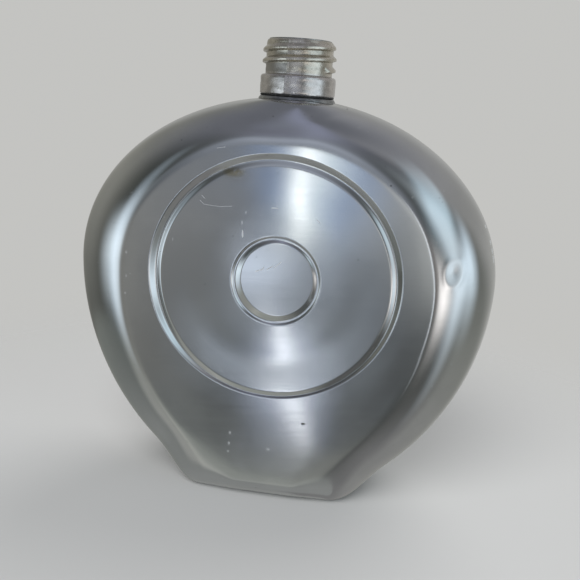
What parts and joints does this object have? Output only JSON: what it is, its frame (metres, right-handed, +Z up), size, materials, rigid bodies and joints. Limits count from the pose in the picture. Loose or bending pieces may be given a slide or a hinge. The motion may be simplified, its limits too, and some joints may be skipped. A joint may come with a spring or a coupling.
{
  "type": "aluminium water bottle",
  "caption": "Flat shield-shaped aluminium bottle, pressed halves welded round the edge, with rings pressed into its faces and an open cast neck with an outside screw thread.",
  "frame": {"origin": "middle of the flat base, on the surface the bottle stands on", "axes": "+Z up along the neck's axis, -Y out of the front face, +X to the right as seen from the front"},
  "size_m": [0.186, 0.062, 0.1998],
  "materials": {
    "satin_aluminium": "satin, fine level grain, light scratches and small marks",
    "ground_weld": "weld ground flush",
    "boss_aluminium": "turned, dull, scratched by the cap",
    "cast_neck_metal": "die-cast, olive grey, mottled",
    "sleeve_aluminium": "rolled, dull",
    "gasket_rubber": "matt black"
  },
  "bodies": {
    "root": {"front_shell": "satin_aluminium", "back_shell": "satin_aluminium", "side_weld": "ground_weld", "neck_boss": "boss_aluminium", "neck_gasket": "gasket_rubber", "threaded_neck": "cast_neck_metal", "neck_sleeve": "sleeve_aluminium"}
  },
  "joints": []
}
